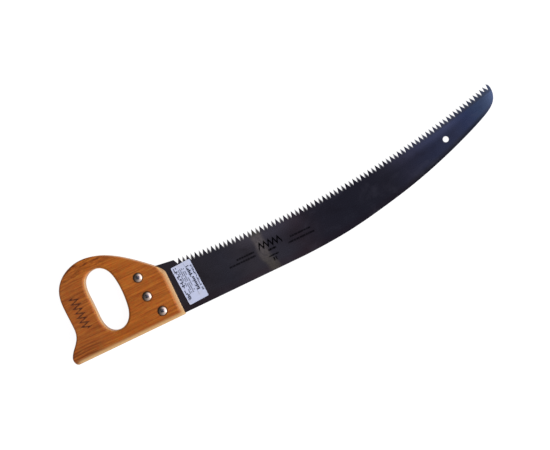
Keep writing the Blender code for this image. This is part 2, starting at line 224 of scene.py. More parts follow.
def inward(points):
    """For each corner of a closed loop, the vector that moves both its sides 1 mm to the left."""
    made = []
    for i, here in enumerate(points):
        a = Vector(here) - Vector(points[i - 1])
        b = Vector(points[(i + 1) % len(points)]) - Vector(here)
        na, nb = Vector((-a.y, a.x)).normalized(), Vector((-b.y, b.x)).normalized()
        both = (na + nb).normalized()
        made.append(both / max(0.5, both.dot(na)))
    return made


def smoothstep(x, low, high):
    t = max(0.0, min(1.0, (x - low) / (high - low)))
    return t * t * (3 - 2 * t)


def evenly(a, b, step):
    """Points about step apart from a towards b, without b."""
    count = max(1, round(math.dist(a, b) / step))
    return [tuple(p + (q - p) * k / count for p, q in zip(a, b)) for k in range(count)]


def rounded_corner(points, index, radius, steps):
    """Replaces one corner of a list of points by an arc."""
    here = Vector(points[index])
    a = (Vector(points[index - 1]) - here).normalized()
    b = (Vector(points[(index + 1) % len(points)]) - here).normalized()
    half = math.acos(max(-1, min(1, a.dot(b)))) / 2
    centre = here + (a + b).normalized() * radius / math.sin(half)
    first = here + a * radius / math.tan(half) - centre
    last = here + b * radius / math.tan(half) - centre
    sweep = math.atan2(first.x * last.y - first.y * last.x, first.dot(last))
    return [tuple(centre + Matrix.Rotation(sweep * k / steps, 2) @ first) for k in range(steps + 1)]


def turned(profile, segments):
    """A solid of revolution about Z from (radius, z) pairs that start and end on the axis."""
    bm = bmesh.new()
    rings = []
    for r, z in profile:
        if r < 1e-6:
            rings.append([bm.verts.new((0, 0, z))])
        else:
            turns = [2 * math.pi * k / segments for k in range(segments)]
            rings.append([bm.verts.new((r * math.cos(a), r * math.sin(a), z)) for a in turns])
    for low, high in zip(rings, rings[1:]):
        for k in range(segments):
            n = (k + 1) % segments
            corners = [low[k % len(low)], low[n % len(low)], high[n % len(high)], high[k % len(high)]]
            bm.faces.new(list(dict.fromkeys(corners)))
    return bm


def prism(outline, z0, z1, top_scale=1.0):
    bm = bmesh.new()
    low = [bm.verts.new((x, y, z0)) for x, y in outline]
    high = [bm.verts.new((x * top_scale, y * top_scale, z1)) for x, y in outline]
    bm.faces.new(low[::-1])
    bm.faces.new(high)
    for k in range(len(outline)):
        n = (k + 1) % len(outline)
        bm.faces.new((low[k], low[n], high[n], high[k]))
    return bm


def place(bm, name, at=(0.0, 0.0, 0.0), turn=0.0, materials=()):
    """Makes an object of a mesh drawn in millimetres about the blade datum, with its vertices in the frame of the part."""
    bmesh.ops.recalc_face_normals(bm, faces=bm.faces)
    moved = Matrix.Scale(MM, 4) @ Matrix.Translation(OFFSET + Vector(at)) @ Matrix.Rotation(turn, 4, "Z")
    bmesh.ops.transform(bm, matrix=moved, verts=bm.verts)
    mesh = bpy.data.meshes.new(name)
    bm.to_mesh(mesh)
    bm.free()
    made = bpy.data.objects.new(name, mesh)
    bpy.context.scene.collection.objects.link(made)
    for finish in materials:
        mesh.materials.append(finish)
    return made


def carve(target, cutters):
    """Cuts each of the cutters out of the target for good and removes them."""
    for number, cutter in enumerate(cutters):
        boolean = target.modifiers.new(f"cut_{number}", "BOOLEAN")
        boolean.operation, boolean.solver, boolean.object = "DIFFERENCE", "EXACT", cutter
    settle(target)
    for cutter in cutters:
        bpy.data.objects.remove(cutter, do_unlink=True)


def settle(target):
    """Applies the object's modifiers to its mesh."""
    bpy.context.view_layer.update()
    graph = bpy.context.evaluated_depsgraph_get()
    mesh = bpy.data.meshes.new_from_object(target.evaluated_get(graph), depsgraph=graph)
    mesh.name = target.name
    target.modifiers.clear()
    target.data = mesh


def smooth(target, degrees, weighted=True):
    target.data.shade_smooth()
    target.data.set_sharp_from_angle(angle=math.radians(degrees))
    if weighted:
        normals = target.modifiers.new("weighted_normals", "WEIGHTED_NORMAL")
        normals.keep_sharp = True
        normals.weight = 80


# ================================================================ node helpers

class Field:
    """A number that varies over a surface: arithmetic on it adds math nodes."""

    def __init__(self, tree, socket):
        self.tree, self.socket = tree, socket

    def made(self, operation, *others, clamp=False):
        node = self.tree.nodes.new("ShaderNodeMath")
        node.operation, node.use_clamp = operation, clamp
        for slot, value in enumerate((self, *others)):
            if isinstance(value, Field):
                self.tree.links.new(value.socket, node.inputs[slot])
            else:
                node.inputs[slot].default_value = value
        return Field(self.tree, node.outputs[0])

    def __add__(self, other):
        return self.made("ADD", other)

    __radd__ = __add__

    def __sub__(self, other):
        return self.made("SUBTRACT", other)

    def __rsub__(self, other):
        return self.made("MULTIPLY", -1.0) + other

    def __mul__(self, other):
        return self.made("MULTIPLY", other)

    __rmul__ = __mul__

    def __truediv__(self, other):
        return self.made("DIVIDE", other)

    def __neg__(self):
        return self * -1.0

    def absolute(self):
        return self.made("ABSOLUTE")

    def low(self, other):
        return self.made("MINIMUM", other)

    def high(self, other):
        return self.made("MAXIMUM", other)

    def power(self, other):
        return self.made("POWER", other)

    def sine(self):
        return self.made("SINE")

    def root(self):
        return self.made("SQRT")

    def fold(self, span):
        """Runs up and down between 0 and span."""
        return self.made("PINGPONG", span)

    def step(self, start, end):
        """0 before start, 1 after end, smooth between; start may be the larger one."""
        node = self.tree.nodes.new("ShaderNodeMapRange")
        node.interpolation_type = "SMOOTHSTEP"
        node.clamp = True
        self.tree.links.new(self.socket, node.inputs["Value"])
        flipped = start > end
        node.inputs["From Min"].default_value = min(start, end)
        node.inputs["From Max"].default_value = max(start, end)
        node.inputs["To Min"].default_value = 1.0 if flipped else 0.0
        node.inputs["To Max"].default_value = 0.0 if flipped else 1.0
        return Field(self.tree, node.outputs["Result"])


class Surface:
    """A material's node tree with the coordinates of its object, in millimetres about the blade datum."""

    def __init__(self, name, local=False):
        self.material = bpy.data.materials.new(name)
        self.material.use_nodes = True
        self.tree = self.material.node_tree
        self.shader = self.tree.nodes["Principled BSDF"]
        coordinates = self.tree.nodes.new("ShaderNodeTexCoord")
        scaled = self.tree.nodes.new("ShaderNodeVectorMath")
        scaled.operation = "MULTIPLY_ADD"
        self.tree.links.new(coordinates.outputs["Object"], scaled.inputs[0])
        scaled.inputs[1].default_value = (1000.0, 1000.0, 1000.0)
        scaled.inputs[2].default_value = (0.0, 0.0, 0.0) if local else tuple(-OFFSET)
        self.point = scaled.outputs[0]
        parts = self.tree.nodes.new("ShaderNodeSeparateXYZ")
        self.tree.links.new(self.point, parts.inputs[0])
        self.x, self.y, self.z = (Field(self.tree, s) for s in parts.outputs)

    def vector(self, x, y, z):
        node = self.tree.nodes.new("ShaderNodeCombineXYZ")
        for slot, value in enumerate((x, y, z)):
            if isinstance(value, Field):
                self.tree.links.new(value.socket, node.inputs[slot])
            else:
                node.inputs[slot].default_value = value
        return node.outputs[0]

    def noise(self, x, y, z, scale=1.0, detail=3.0, roughness=0.5, distortion=0.0):
        node = self.tree.nodes.new("ShaderNodeTexNoise")
        self.tree.links.new(self.vector(x, y, z), node.inputs["Vector"])
        node.inputs["Scale"].default_value = scale
        node.inputs["Detail"].default_value = detail
        node.inputs["Roughness"].default_value = roughness
        node.inputs["Distortion"].default_value = distortion
        return Field(self.tree, node.outputs["Fac"])

    def cells(self, x, y, z, feature="F1"):
        node = self.tree.nodes.new("ShaderNodeTexVoronoi")
        node.feature = feature
        self.tree.links.new(self.vector(x, y, z), node.inputs["Vector"])
        node.inputs["Scale"].default_value = 1.0
        return Field(self.tree, node.outputs["Distance"])

    def dice(self, x, y, seed):
        """An unrelated number for each unit square of the plane, between 0 and 1."""
        node = self.tree.nodes.new("ShaderNodeTexWhiteNoise")
        self.tree.links.new(self.vector(x.made("FLOOR"), y.made("FLOOR"), seed), node.inputs["Vector"])
        return Field(self.tree, node.outputs["Value"])

    def box(self, x0, y0, x1, y1, soft=0.4):
        """1 inside a rectangle in the plane of the saw."""
        inside = self.x.step(x0 - soft, x0 + soft) * self.x.step(x1 + soft, x1 - soft)
        return inside * self.y.step(y0 - soft, y0 + soft) * self.y.step(y1 + soft, y1 - soft)

    def colour(self, value):
        node = self.tree.nodes.new("ShaderNodeRGB")
        node.outputs[0].default_value = (*value, 1.0)
        return node.outputs[0]

    def ramp(self, field, stops):
        """A colour that runs through the given (value, colour) stops."""
        node = self.tree.nodes.new("ShaderNodeValToRGB")
        low, high = stops[0][0], stops[-1][0]
        elements = node.color_ramp.elements
        while len(elements) < len(stops):
            elements.new(0.5)
        for number, (value, colour) in enumerate(stops):
            elements[number].position = (value - low) / (high - low)
        for number, (value, colour) in enumerate(stops):
            elements[number].color = (*colour, 1.0)
        self.tree.links.new(((field - low) / (high - low)).socket, node.inputs[0])
        return node.outputs[0]

    def gain(self, colour, red, green, blue):
        """Multiplies a colour channel by channel; the factors may vary and be above 1."""
        node = self.tree.nodes.new("ShaderNodeCombineColor")
        for slot, value in enumerate((red, green, blue)):
            if isinstance(value, Field):
                self.tree.links.new(value.socket, node.inputs[slot])
            else:
                node.inputs[slot].default_value = value
        return self.mix(colour, node.outputs[0], 1.0, "MULTIPLY")

    def mix(self, a, b, share, blend="MIX"):
        node = self.tree.nodes.new("ShaderNodeMix")
        node.data_type, node.blend_type = "RGBA", blend
        self.tree.links.new(share.socket, node.inputs["Factor"]) if isinstance(share, Field) else setattr(
            node.inputs["Factor"], "default_value", share
        )
        for slot, value in ((6, a), (7, b)):
            if isinstance(value, tuple):
                node.inputs[slot].default_value = (*value, 1.0)
            else:
                self.tree.links.new(value, node.inputs[slot])
        return node.outputs[2]

    def put(self, name, value):
        if isinstance(value, Field):
            self.tree.links.new(value.socket, self.shader.inputs[name])
        elif isinstance(value, (int, float)):
            self.shader.inputs[name].default_value = value
        elif isinstance(value, tuple):
            self.shader.inputs[name].default_value = (*value, 1.0)
        else:
            self.tree.links.new(value, self.shader.inputs[name])

    def bump(self, height, depth_mm, strength=1.0):
        node = self.tree.nodes.new("ShaderNodeBump")
        node.inputs["Strength"].default_value = strength
        node.inputs["Distance"].default_value = depth_mm * MM
        self.tree.links.new(height.socket, node.inputs["Height"])
        self.tree.links.new(node.outputs["Normal"], self.shader.inputs["Normal"])


def srgb(r, g, b):
    """A colour as the shaders take it, from the usual 0 to 255."""
    return tuple(v / 255 / 12.92 if v / 255 <= 0.04045 else ((v / 255 + 0.055) / 1.055) ** 2.4 for v in (r, g, b))


# ================================================================ materials

def beech():
    s = Surface("oiled_beech")
    x, y, z = s.x, s.y, s.z
    # The grain runs along x and wanders a little.
    wander = (s.noise(x * 0.011, y * 0.012, z * 0.02, detail=2.0) - 0.5) * 9.0
    ya = y + wander
    # Growth rings round a far pith, seen as long lines on the flat faces and as arcs on the ends.
    ring_r = ((ya + 150.0) * (ya + 150.0) + (z - 120.0) * (z - 120.0)).root()
    uneven = (s.noise(x * 0.004, ya * 0.09, z * 0.09, detail=2.0) - 0.5) * 5.0
    rings = (((ring_r + uneven) * (2 * math.pi / 5.2)).sine() * 0.5 + 0.5).power(2.2)
    fibres = s.noise(x * 0.034, ya * 1.5, z * 1.5, detail=4.0, roughness=0.62)
    streaks = s.noise(x * 0.006, ya * 0.28, z * 0.28, detail=3.0, roughness=0.55)
    clouds = s.noise(x * 0.02, ya * 0.035, z * 0.05, detail=2.0)
    # Short dark flecks of the rays, as on beech.
    fleck_cells = s.cells(x * 0.26, ya * 1.9, z * 1.9)
    flecks = fleck_cells.step(0.30, 0.12) * s.noise(x * 0.05, ya * 0.2, z * 0.2, detail=1.0).step(0.42, 0.62)
    pores = s.noise(x * 0.35, ya * 6.0, z * 6.0, detail=1.0).step(0.60, 0.74)

    base = s.mix((0.388, 0.110, 0.0130), (0.290, 0.072, 0.0080), streaks.step(0.36, 0.66))
    base = s.mix(base, (0.235, 0.053, 0.0060), rings * 0.40)
    base = s.mix(base, (0.450, 0.145, 0.0220), fibres.step(0.52, 0.70) * 0.46)
    base = s.mix(base, (0.220, 0.048, 0.0060), fibres.step(0.48, 0.32) * 0.44)
    base = s.mix(base, (0.430, 0.127, 0.0160), clouds.step(0.45, 0.70) * 0.35)
    bands = s.noise(x * 0.019, ya * 0.50, z * 0.50, detail=3.0, roughness=0.66)
    base = s.mix(base, (0.190, 0.041, 0.0050), bands.step(0.50, 0.32) * 0.50)
    base = s.mix(base, (0.500, 0.165, 0.0240), bands.step(0.51, 0.68) * 0.46)
    # Redder round the back of the hand opening, darker in patches over the top.
    rear = x.step(-96.0, -128.0)
    base = s.mix(base, (0.270, 0.080, 0.0230), rear * 0.36)
    fine = s.noise(x * 0.055, ya * 0.80, z * 0.80, detail=2.0, roughness=0.6)
    mottle = s.noise(x * 0.17, y * 0.27, z * 0.27, detail=3.0, roughness=0.65) - 0.5
    base = s.gain(base, mottle * 0.26 + 1.0, mottle * -0.84 + 1.0, mottle * -1.25 + 1.0)
    cheek = x.step(-72.0, -62.0) * x.step(-10.0, -16.0) * y.step(14.0, 24.0) * y.step(96.0, 84.0)
    base = s.mix(base, (0.150, 0.031, 0.0040), cheek * fine.step(0.46, 0.32) * 0.40)
    base = s.mix(base, (0.560, 0.195, 0.0300), cheek * fine.step(0.54, 0.70) * 0.30)
    base = s.mix(base, (0.120, 0.026, 0.0060), rear * bands.step(0.55, 0.36) * 0.34)
    base = s.mix(base, (0.560, 0.200, 0.0400), rear * fine.step(0.54, 0.68) * 0.24)
    base = s.mix(base, (0.120, 0.026, 0.0060), rear * fine.step(0.47, 0.34) * 0.24)
    patches = s.noise(x * 0.055, y * 0.16, 4.0, detail=4.0, roughness=0.6).step(0.44, 0.62)
    crown = y.step(102.0, 118.0) * x.step(-62.0, -84.0)
    base = s.mix(base, (0.085, 0.012, 0.0010), crown * (patches * 0.78 - 0.04).high(0.0))
    base = s.mix(base, (0.600, 0.185, 0.0170), crown * fine.step(0.53, 0.66) * 0.44)
    base = s.mix(base, (0.090, 0.017, 0.0030), crown * fine.step(0.47, 0.35) * 0.28)
    base = s.mix(base, (0.150, 0.032, 0.0060), flecks * 0.45)
    base = s.mix(base, (0.155, 0.036, 0.0060), pores * 0.22)
    # Heavier lines in the lower rear corner.
    corner = x.step(-112.0, -140.0) * y.step(26.0, 14.0)
    lines = (((ya * 1.0 + (x + 150.0) * 0.045 + uneven * 0.35) * (2 * math.pi / 4.6)).sine() * 0.5 + 0.5).power(3.0)
    base = s.mix(base, (0.095, 0.018, 0.002), corner * (lines * 0.50 + 0.12))
    base = s.gain(base, 0.96, 0.93, 0.81)

    # Painted highlight: the eased edges and walls are painted paler, standing in for the sheen of the light on them;
    # they are also made matt.
    board = base
    hollow = z.absolute()
    front = x.step(-10.6, -8.0) * hollow.step(10.8, 8.4)
    bottom = y.step(5.8, 0.6) * x.step(-169.0, -158.0)
    right = hollow.step(10.8, 8.0) * x.step(-80.0, -73.0) * x.step(-62.0, -66.0) * y.step(30.0, 42.0) * y.step(100.0, 86.0)
    left = hollow.step(10.7, 7.0) * x.step(-119.0, -116.0) * x.step(-106.0, -109.0) * y.step(28.0, 40.0)
    plain_edge = hollow.step(10.7, 9.0)
    within = x.step(-118.0, -115.0) * x.step(-63.0, -66.0) * y.step(14.0, 18.0) * y.step(113.0, 109.0)
    slope = x.step(-92.0, -62.0) * y.step(60.0, 72.0)
    base = s.mix(base, (0.470, 0.222, 0.050), plain_edge * (within * 0.26 + 0.34))
    base = s.mix(base, (0.540, 0.320, 0.130), slope * hollow.step(10.6, 8.9) * (1.0 - within) * 0.68)
    base = s.mix(base, (0.418, 0.215, 0.072), left * 0.85)
    base = s.mix(base, (0.385, 0.212, 0.094), (front + right).low(1.0) * 0.88)
    base = s.mix(base, (0.470, 0.310, 0.165), x.step(-5.4, -3.4) * hollow.step(9.6, 6.0) * 0.80)
    base = s.mix(base, (0.460, 0.280, 0.118), bottom * 0.88)
    # The middle of the side walls keeps the colour of the faces.
    far_wall = x.step(-122.0, -119.0) * x.step(-103.0, -107.0) * y.step(18.0, 32.0) * y.step(118.0, 106.0)
    walls = hollow.step(8.8, 5.6) * x.step(-9.0, -14.0) * (1.0 - far_wall)
    base = s.mix(base, board, walls * 0.82)
    # Painted shadow darkens the seats of the bolts, most on their upper-left side, away from the light.
    for bolt_x, bolt_y in BOLTS.values():
        across, down = x - bolt_x, y - bolt_y
        away = (across * across + down * down).root()
        seat = away.step(SEAT_R + 1.2, SEAT_R - 0.5)
        shaded = (across * -0.8 + down * 0.6) / away
        base = s.mix(base, (0.060, 0.022, 0.008), seat * (shaded.step(-0.9, 0.5) * 0.50 + 0.38))

    # A plain burnt-in zigzag with a soft scorched rim, on the flat part behind the hand opening.
    along = y - 38.5
    centre = ((along + 1.7).fold(3.4) - 1.7) * 3.1 - 133.4
    off = (x - centre + (s.noise(x * 0.4, y * 0.4, 3.0, detail=2.0) - 0.5) * 2.4).absolute()
    face = z.step(10.2, 10.9)
    length = y.step(38.3, 39.6) * y.step(86.5, 85.0)
    stroke = off.step(3.6, 1.5) * length
    rim = off.step(6.0, 2.0) * length
    press = s.noise(x * 0.22, y * 0.22, 7.0, detail=3.0).step(0.28, 0.60)
    mark = stroke * face
    base = s.mix(base, (0.110, 0.022, 0.005), rim * face * 0.34)
    base = s.mix(base, (0.034, 0.006, 0.002), mark * (press * 0.52 + 0.34))

    s.put("Base Color", base)
    rough = fibres * 0.16 + 0.30 + pores * 0.12 + mark * 0.25 + (clouds - 0.5) * 0.06
    s.put("Roughness", rough)
    worn = hollow.step(10.95, 10.3)
    s.put("Specular IOR Level", 0.18 - worn * 0.07)
    s.put("Coat Weight", (0.18 - worn * 0.15) * (1.0 - mark * 0.8))
    s.put("Coat Roughness", 0.22)
    s.put("Coat IOR", 1.45)
    s.bump(fibres * 0.5 - pores * 0.9 - flecks * 0.35 - mark * 2.5 - rings * 0.15, 0.05)
    return s.material


def dark_steel():
    s = Surface("dark_spring_steel")
    x, y, z = s.x, s.y, s.z
    smudge = s.noise(x * 0.028, y * 0.04, z * 0.02, detail=4.0, roughness=0.6, distortion=0.6)
    blotch = s.noise(x * 0.012, y * 0.02, 2.0, detail=2.0)
    brushed = s.noise(x * 0.05, y * 5.5, z * 3.0, detail=3.0, roughness=0.65)
    specks = s.noise(x * 0.8, y * 0.8, z, detail=2.0).step(0.66, 0.78)

    # Height within the plate, 0 on the back and 1 at the feet of the teeth.
    bend = (x - BACK_CURVE_START).high(0.0)
    back = bend * bend * 0.00069
    dip = x - TOOTH_LINE_LOW[0]
    feet = dip * dip * 0.000376 + (TOOTH_LINE_LOW[1] - TOOTH_HEIGHT)
    up = (y - back) / (feet - back)
    # The colour of the plate runs along its length, from brown at the grip to blue at the nose.
    wavering = x + (blotch - 0.5) * 34.0
    base = s.ramp(wavering, (
        (-60.0, (0.250, 0.200, 0.215)),
        (45.0, (0.184, 0.164, 0.196)),
        (75.0, (0.174, 0.166, 0.210)),
        (105.0, (0.212, 0.186, 0.216)),
        (158.0, (0.168, 0.155, 0.194)),
        (186.0, (0.132, 0.100, 0.124)),
        (218.0, (0.086, 0.078, 0.108)),
        (262.0, (0.073, 0.070, 0.098)),
        (330.0, (0.066, 0.062, 0.083)),
        (365.0, (0.086, 0.082, 0.122)),
        (402.0, (0.090, 0.099, 0.166)),
        (440.0, (0.106, 0.118, 0.196)),
        (466.0, (0.092, 0.118, 0.226)),
        (486.0, (0.122, 0.172, 0.286)),
        (498.0, (0.175, 0.236, 0.360)),
        (512.0, (0.320, 0.420, 0.640)),
    ))
    # Lighter below the teeth behind the middle and towards the nose, browner along the back.
    high = up.step(0.66, 0.98)
    lift = high * (x.step(88.0, 124.0) * x.step(208.0, 190.0) * 0.52 + x.step(300.0, 365.0) * x.step(480.0, 425.0) * 0.75) + 1.0
    low = up.step(0.24, 0.08)
    far = x.step(320.0, 380.0) * x.step(505.0, 470.0)
    base = s.gain(base, lift * (1.0 - low * far * 0.12), lift * (1.0 - low * (far * 0.06 + 0.14)), lift * (1.0 - low * (far * 0.20 + 0.14)))
    base = s.mix(base, (0.290, 0.275, 0.320), smudge.step(0.52, 0.80) * 0.26)
    base = s.mix(base, (0.050, 0.043, 0.056), smudge.step(0.46, 0.24) * 0.36)
    base = s.mix(base, (0.270, 0.250, 0.290), brushed.step(0.58, 0.80) * 0.18)
    base = s.mix(base, (0.030, 0.026, 0.030), up.step(0.10, 0.01) * far * 0.45)
    # The teeth have been filed greyer than the plate, most of all towards the nose.
    base = s.mix(base, (0.130, 0.130, 0.152), up.step(0.98, 1.10) * x.step(330.0, 430.0) * 0.55)
    # A soft grey-tan bar of light across the plate.
    bar_off = (x - 130.9 + (smudge - 0.5) * 5.0 - y.step(26.0, 6.0) * 5.8).absolute()
    bar = s.mix((0.420, 0.365, 0.295), (0.600, 0.520, 0.485), up.step(0.05, 0.75))
    bar = s.mix(bar, (0.400, 0.368, 0.285), up.step(0.93, 1.04))
    streaky = s.noise(x * 0.24 + y * 0.10, y * 0.13 - x * 0.05, 9.0, detail=3.0, roughness=0.6).step(0.34, 0.62)
    base = s.mix(base, bar, bar_off.step(11.0, 3.4) * (streaky * 0.46 + 0.54) * z.step(-0.2, 0.5))

    # Plain etched ornament: a short zigzag with bars below it, and two faint groups of bars.
    front = z.step(0.6, 0.75)
    wave = ((x - 126.8).fold(3.35) - 1.675) * 2.5 + 37.6 - (x - 143.0) * 0.05
    worn = s.noise(x * 0.5, y * 0.5, 5.0, detail=2.0).step(0.24, 0.42)
    zigzag = (y - wave).absolute().step(2.7, 2.0) * x.step(126.0, 127.0) * x.step(161.5, 160.5)
    dashes = s.noise(x * 0.55, 11.0, 3.0, detail=0.0).step(0.42, 0.52)
    bars = (
        s.box(137.5, 26.8, 149.5, 29.8)
        + s.box(134.5, 18.6, 149.5, 20.8)
        + s.box(139.0, 11.6, 141.3, 16.8)
        + s.box(142.5, 11.6, 144.8, 16.8)
    )
    faint = (
        s.box(92.0, 33.4, 119.0, 36.0, 0.8)
        + s.box(79.0, 28.0, 119.0, 30.4, 0.8)
        + s.box(173.0, 31.4, 204.0, 33.8, 0.8)
        + s.box(167.0, 24.4, 207.0, 27.0, 0.8)
    )
    etched = (zigzag + bars * (dashes * 0.4 + 0.6)).low(1.0) * front * (worn * 0.3 + 0.7)
    faint = faint.low(1.0) * (dashes * 0.5 + 0.5) * front
    base = s.gain(base, 0.375, 0.375, 0.375)
    base = s.mix(base, (0.0012, 0.0012, 0.0018), etched)
    base = s.mix(base, (0.0056, 0.0050, 0.0074), faint * 0.86)
    s.put("Base Color", base)
    s.put("Metallic", 1.0)
    s.put("Roughness", smudge * 0.14 + 0.17 + brushed * 0.06 + etched * 0.10)
    s.bump(brushed * 0.3 + smudge * 0.4 + specks * 0.3 - etched * 0.8, 0.006)
    return s.material


def ground_steel():
    """The bare ground bevels of the teeth."""
    s = Surface("ground_steel")
    lines = s.noise(s.x * 1.4, s.y * 1.4, s.z * 14.0, detail=3.0, roughness=0.7)
    tint = s.noise(s.x * 0.03, s.y * 0.03, s.z * 0.03, detail=2.0)
    base = s.mix((0.40, 0.39, 0.39), (0.29, 0.28, 0.29), lines.step(0.35, 0.65))
    base = s.mix(base, (0.30, 0.29, 0.28), tint.step(0.5, 0.7) * 0.5)
    base = s.gain(base, *(1.0 - s.x.step(120.0, 480.0) * k for k in (0.48, 0.44, 0.34)))
    s.put("Base Color", base)
    s.put("Metallic", 1.0)
    s.put("Roughness", lines * 0.22 + 0.16)
    s.bump(lines, 0.012)
    return s.material


def plated(name, seed):
    """Bright zinc plate with fine turning marks, and painted shade on the heads."""
    s = Surface(name, local=True)
    from_axis = (s.x * s.x + s.y * s.y).root()
    rings = s.noise(from_axis * 9.0, seed, 0.0, detail=2.0)
    haze = s.noise(s.x * 0.5 + seed, s.y * 0.5, s.z * 0.5, detail=3.0)
    scuffs = s.noise(s.x * 1.1 + seed, s.y * 7.0, s.z * 1.1, detail=3.0).step(0.62, 0.75)
    deep = s.z.step(12.9, 12.0) * s.z.step(9.0, 10.0) * from_axis.step(3.5, 3.2)
    base = s.mix((0.50, 0.395, 0.345), (0.41, 0.320, 0.280), haze.step(0.4, 0.7))
    base = s.mix(base, (0.33, 0.29, 0.27), scuffs * 0.35)
    # Painted shade: each head is painted darker on its lower side, and darker still on its upper-left side, away from
    # the light.
    front = s.z.step(0.0, 1.0)
    lower_side_shade = (s.x * -0.22 + s.y * -0.97) / from_axis.high(0.1)
    base = s.mix(base, (0.270, 0.205, 0.175), front * lower_side_shade.step(0.00, 0.62) * from_axis.step(2.4, 4.0) * 0.90)
    upper_left_shade = (s.x * -0.70 + s.y * 0.71) / from_axis.high(0.1)
    base = s.mix(base, (0.10, 0.055, 0.035), front * upper_left_shade.step(0.05, 0.80) * from_axis.step(3.4, 5.4) * 0.75)
    # Painted shadow: a dark ring round the rim of each head, heaviest on the upper left.
    base = s.mix(base, (0.09, 0.06, 0.045), from_axis.step(5.3, 5.8) * (upper_left_shade.step(-0.8, 0.4) * 0.60 + 0.25))
    # Painted shade darkens the cross recess.
    base = s.mix(base, (0.150, 0.155, 0.200), deep * 0.90)
    s.put("Base Color", base)
    s.put("Metallic", 1.0)
    s.put("Roughness", haze * 0.10 + 0.10 + scuffs * 0.12 + deep * 0.25)
    s.bump(rings * 0.5 + haze * 0.4 - scuffs * 0.4, 0.010)
    return s.material


def paper():
    """The stuck-on label: pale, with plain grey bars where print would be."""
    s = Surface("label_paper", local=True)
    x, y = s.x, s.y
    fibre = s.noise(x * 3.0, y * 3.0, s.z, detail=4.0)
    stain = s.noise(x * 0.08, y * 0.06, 1.0, detail=3.0)
    base = s.mix((0.488, 0.525, 0.680), (0.442, 0.474, 0.610), fibre.step(0.35, 0.7))
    base = s.mix(base, (0.470, 0.455, 0.510), stain.step(0.5, 0.75) * 0.4)
    ink = None
    ragged = (s.noise(x * 0.9, y * 0.9, 6.0, detail=1.0) - 0.5) * 0.7
    # (across, half width, from, to, size of a blot, share of blots, strength)
    columns = (
        (-10.4, 2.3, -22.5, 26.5, (1.55, 2.4), 0.68, 0.98),
        (-6.5, 0.75, -15.5, 21.5, (1.60, 2.0), 0.80, 0.84),
        (-4.0, 0.75, -17.0, 22.0, (1.60, 2.1), 0.80, 0.84),
        (-1.5, 0.75, -15.0, 22.0, (1.60, 1.9), 0.78, 0.84),
        (1.1, 0.75, -13.0, 21.0, (1.60, 2.1), 0.74, 0.78),
        (4.0, 0.40, -23.0, 26.5, (1.60, 2.7), 0.52, 0.46),
        (6.7, 2.3, -15.0, 21.5, (1.55, 2.5), 0.76, 1.00),
        (12.2, 1.3, -18.5, 22.0, (1.40, 2.3), 0.68, 0.92),
    )
    for number, (across, half, start, end, (wide, tall), share, strength) in enumerate(columns):
        column = (x - across + ragged * 0.3).absolute().step(half + 0.12, half - 0.12)
        length = y.step(start - 0.2, start + 0.2) * y.step(end + 0.2, end - 0.2)
        blots = s.dice((x - across + half + ragged) / wide, (y + ragged) / tall, number * 3.0 + 0.5)
        spaced = (y + ragged).fold(tall * 0.5).step(0.05, 0.38)
        drawn = column * length * spaced * blots.step(share, share - 0.02) * strength
        ink = drawn if ink is None else ink.high(drawn)
    front = s.z.step(LABEL_T * 0.6, LABEL_T * 0.9)
    base = s.mix(base, (0.014, 0.018, 0.040), ink * front)
    s.put("Base Color", base)
    s.put("Roughness", fibre * 0.12 + 0.42)
    s.put("Coat Weight", 0.12)
    s.put("Coat Roughness", 0.3)
    s.bump(fibre * 0.5 + stain * 0.8, 0.02)
    return s.material


# ================================================================ grip

def grip_outline(step):
    """The whole outline, counter-clockwise seen from the front, and the index of its sharp front corner."""
    curve = spline(GRIP_CURVE, step, start=(-1, 0), end=(0, -1))
    end = (GRIP_FRONT_X, GRIP_BOTTOM_Y)
    # No points close to the sharp corner, where the eased edges of the front and the bottom meet in a mitre.
    above, behind = (GRIP_FRONT_X, GRIP_BOTTOM_Y + CORNER_CLEAR), (GRIP_FRONT_X - CORNER_CLEAR, GRIP_BOTTOM_Y)
    front = evenly(curve[-1], above, step)[1:] + [above]
    bottom = [end] + evenly(behind, curve[0], step)
    points = (curve + front + bottom)[::-1]
    return points, len(bottom) - 1


def grip_edge(x, y):
    """(width, height, bulge) of the eased edge at a point of the outline: broad and flat at the front."""
    front = smoothstep(x, -12.5, -5.0) * smoothstep(y, -6.0, 3.0)
    bottom = smoothstep(-y, -9.0, 1.0)
    plain = OUTER_ROUND + (BOTTOM_ROUND - OUTER_ROUND) * bottom
    return (
        plain + (FRONT_EASE_W - plain) * front,
        plain + (FRONT_EASE_H - plain) * front,
        2.0 - 0.7 * front,
    )


def eased_ring(points, side, share, edge):
    made = []
    for (x, y), n in zip(points, inward(points)):
        width, height, bulge = edge(x, y)
        s, c = math.sin(share * math.pi / 2) ** (2 / bulge), math.cos(share * math.pi / 2) ** (2 / bulge)
        z = side * (GRIP_T / 2 - height * (1 - c))
        made.append((x + n.x * width * (1 - s), y + n.y * width * (1 - s), z))
    return made


